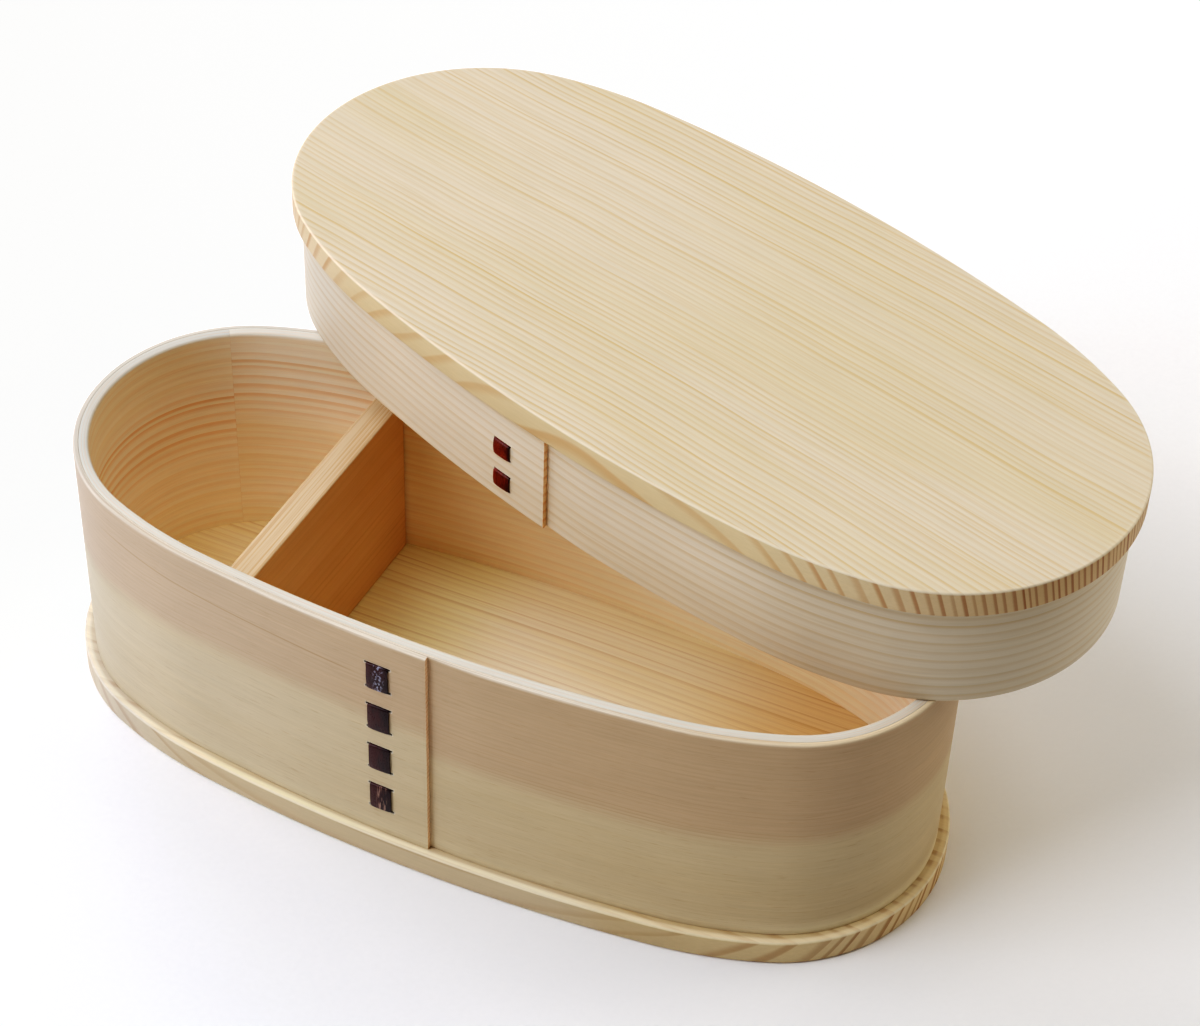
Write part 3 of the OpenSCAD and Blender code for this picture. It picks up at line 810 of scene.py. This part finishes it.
finish_piece(base_board(), M_BASE, "box", "base_board")
finish_piece(lapped_band("outer_band_wood", SEAM, 0.0, 1.0, BASE_T, RIM_Z, (0.45, 0.04, 0.1, 0.05), LACE, *PASSES, BARK_W + 0.9),
             M_OUT, "box", "outer_band")
finish_piece(inner_band(), M_IN, "box", "inner_band")
finish_piece(lacing("body_lacing_bark", LACE, LAP_H * LACE_T, LAP_H * LACE_T + 1.0, 0.6 * LAP_H / LAP_L, *PASSES, BARK_W, 0.10),
             M_BARK, "box", "body_lacing")
finish_piece(divider(), M_DIV, "divider", "divider")
finish_piece(lid_board(), M_LID, "lid", "lid_board")
finish_piece(lapped_band("lid_band_wood", LID_SEAM, LID_OUT, 1.4, 0.0, LID_H, (0.05, 0.05, 0.4, 0.3), LID_LACE, *LID_PASSES, LID_BARK_W + 0.4, lid_place),
             M_LBAND, "lid", "lid_band")
finish_piece(lacing("lid_lacing_bark", LID_LACE, LID_OUT + LAP_H * LID_LACE_T, LAP_H * LID_LACE_T + 1.4, 0.6 * LAP_H / LAP_L, *LID_PASSES, LID_BARK_W, 0.12, lid_place),
             M_BARK2, "lid", "lid_lacing")

# ------------------------------------------------------------------ floor, light and camera
floor_mesh = bpy.data.meshes.new("floor")
floor_mesh.from_pydata([(-6, -6, -0.0002), (6, -6, -0.0002), (6, 6, -0.0002), (-6, 6, -0.0002)], [], [(0, 1, 2, 3)])
floor = bpy.data.objects.new("floor", floor_mesh)
bpy.context.scene.collection.objects.link(floor)
g = Tree("floor_paper")
place = g.t.nodes.new("ShaderNodeTexCoord").outputs["Object"]
tooth = g.noise(g.vec("MULTIPLY", place, (900.0, 900.0, 900.0)), 2.0)
g.put(g.bsdf.inputs["Base Color"], g.mix(tooth, (0.93, 0.93, 0.93, 1), (0.96, 0.96, 0.96, 1)))
g.bsdf.inputs["Roughness"].default_value = 0.9
g.bsdf.inputs["Specular IOR Level"].default_value = 0.1
floor_mesh.materials.append(g.mat)

world = bpy.data.worlds.new("studio")
bpy.context.scene.world = world
world.use_nodes = True
back = world.node_tree.nodes["Background"]
back.inputs["Color"].default_value = (1, 1, 1, 1)
back.inputs["Strength"].default_value = 0.01


def softbox(name, at, aim, size, watts, tint=(1, 1, 1)):
    data = bpy.data.lights.new(name, "AREA")
    data.shape = "RECTANGLE"
    data.size, data.size_y = size
    data.energy = watts
    data.color = tint
    ob = bpy.data.objects.new(name, data)
    bpy.context.scene.collection.objects.link(ob)
    d = np.array(aim, float) - np.array(at, float)
    d /= np.linalg.norm(d)
    z = -d
    x = np.cross((0, 0, 1), z) if abs(z[2]) < 0.99 else np.array([1.0, 0, 0])
    x /= np.linalg.norm(x)
    y = np.cross(z, x)
    ob.matrix_world = Matrix(((x[0], y[0], z[0], at[0]), (x[1], y[1], z[1], at[1]), (x[2], y[2], z[2], at[2]), (0, 0, 0, 1)))
    return ob


# A wall of soft light round the left side and weak fill from behind and the right: azimuth, elevation, watts
for n, (az, el, watts) in enumerate((
        (135, 15, 1.5), (180, 15, 6.2), (225, 15, 2.8), (45, 15, 6.6), (90, 40, 2.8), (135, 40, 3.0), (180, 40, 4.4), (225, 40, 6.2),
        (225, 65, 6.4), (315, 65, 1.5), (45, 65, 3.4))):
    az, el = math.radians(az), math.radians(el)
    at = (1.5 * math.cos(el) * math.cos(az), 1.5 * math.cos(el) * math.sin(az) + 0.02, 1.5 * math.sin(el) + 0.03)
    softbox("softbox_%d" % n, at, (0, 0.02, 0.03), (0.8, 0.8), watts, (0.97, 1.0, 1.1) if at[0] < -0.1 else (1.05, 0.98, 0.85))

cam_data = bpy.data.cameras.new("camera")
cam = bpy.data.objects.new("camera", cam_data)
bpy.context.scene.collection.objects.link(cam)
cam_data.sensor_fit = "HORIZONTAL"
cam_data.sensor_width = 36.0
cam_data.lens = 2957.242 / 1200 * 36
cam_data.shift_x = (600 - 576.628) / 1200
cam_data.shift_y = (510.468 - 513) / 1200
cam_data.clip_start = 0.01
right, down, ahead = (0.9054957, 0.4237325, 0.0229838), (0.3017738, -0.6049055, -0.7369002), (-0.2983456, 0.6741959, -0.6756107)
cam.matrix_world = Matrix((
    (right[0], -down[0], -ahead[0], 0.177581),
    (right[1], -down[1], -ahead[1], -0.369314),
    (right[2], -down[2], -ahead[2], 0.435359),
    (0, 0, 0, 1)))
bpy.context.scene.camera = cam

scene = bpy.context.scene
scene.view_settings.view_transform = "Standard"
scene.view_settings.look = "None"
scene.view_settings.exposure = 0.0
# contrast of a studio photograph: deep, warm shadows and a clean white ground
scene.view_settings.use_curve_mapping = True
tone = scene.view_settings.curve_mapping
for x, y in ((0.02, 0.003), (0.04, 0.0102), (0.08, 0.0343), (0.16, 0.109), (0.25, 0.2135), (0.4, 0.3927), (0.6, 0.6135), (0.8, 0.822), (0.88, 0.93), (0.94, 1.0)):
    tone.curves[3].points.new(x, y)
tone.update()
scene.cycles.max_bounces = 14
scene.cycles.diffuse_bounces = 10
scene.cycles.use_denoising = True

bpy.context.view_layer.update()
